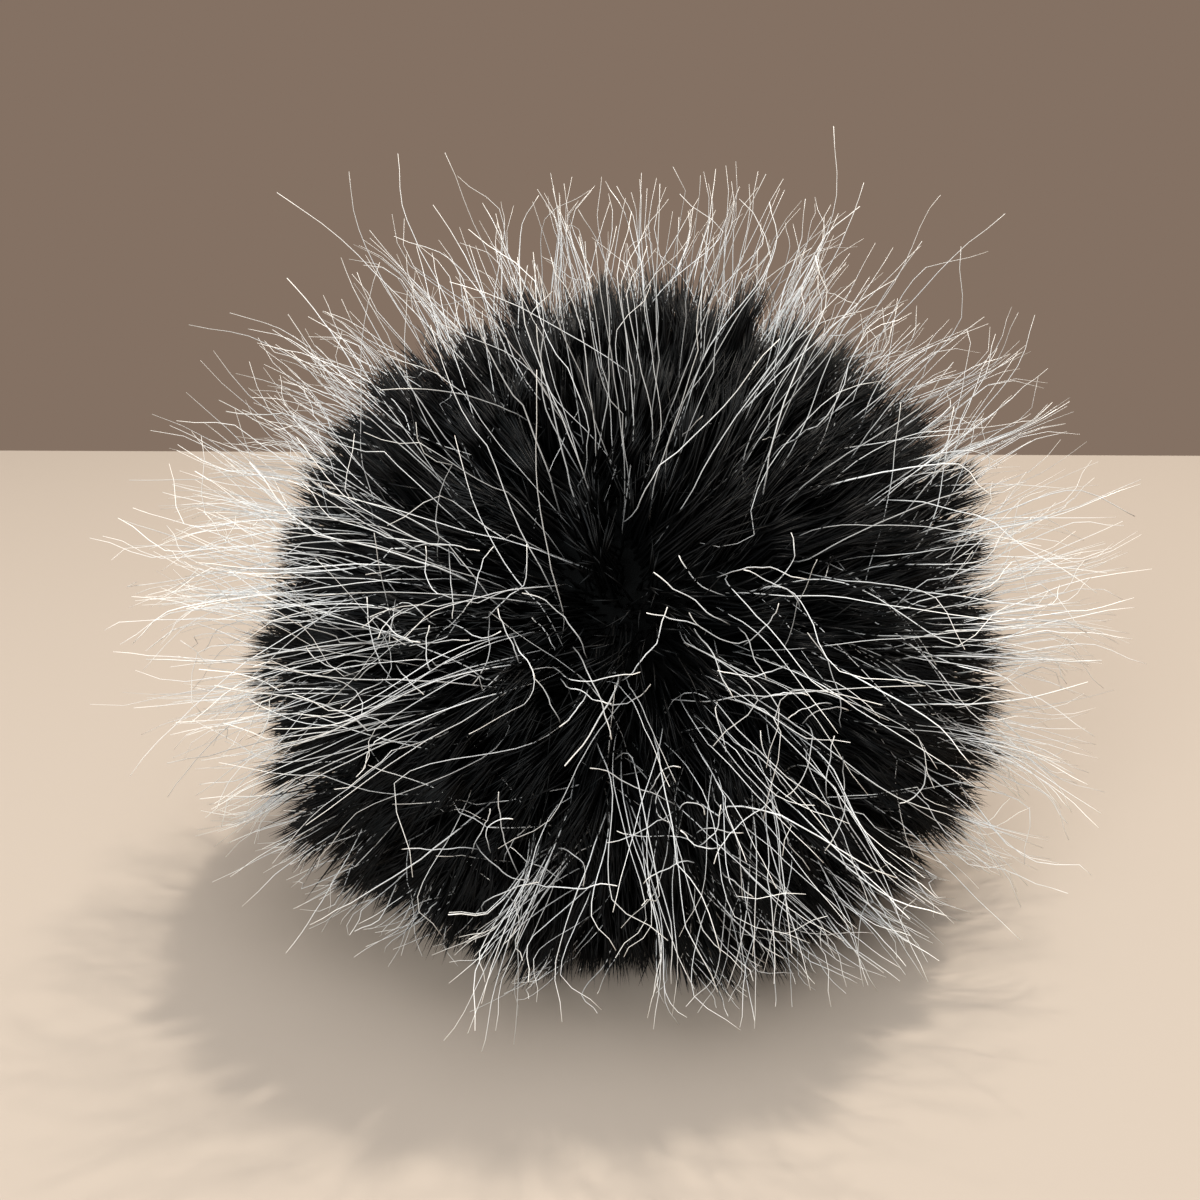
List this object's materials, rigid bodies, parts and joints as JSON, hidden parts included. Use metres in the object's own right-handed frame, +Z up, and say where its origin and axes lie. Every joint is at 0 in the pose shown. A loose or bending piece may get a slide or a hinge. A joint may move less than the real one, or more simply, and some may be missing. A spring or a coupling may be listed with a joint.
{
  "type": "faux fur pom pom",
  "caption": "Round faux fur pom pom with near-black underfur and long silver-white guard hair, resting on its flattened underside.",
  "frame": {"origin": "on the surface that the pom pom rests on, below the middle of its outline", "axes": "+Z up out of the surface, -Y out of the front, where the hair parts at a whorl, and +X to the right of the front"},
  "size_m": [0.1262, 0.1264, 0.0968],
  "materials": {
    "silver_tipped_fur": "long-pile acrylic faux fur, near-black dense underfur with long silver-white guard hair"
  },
  "bodies": {
    "root": {"fur_ball": "silver_tipped_fur"}
  },
  "joints": []
}
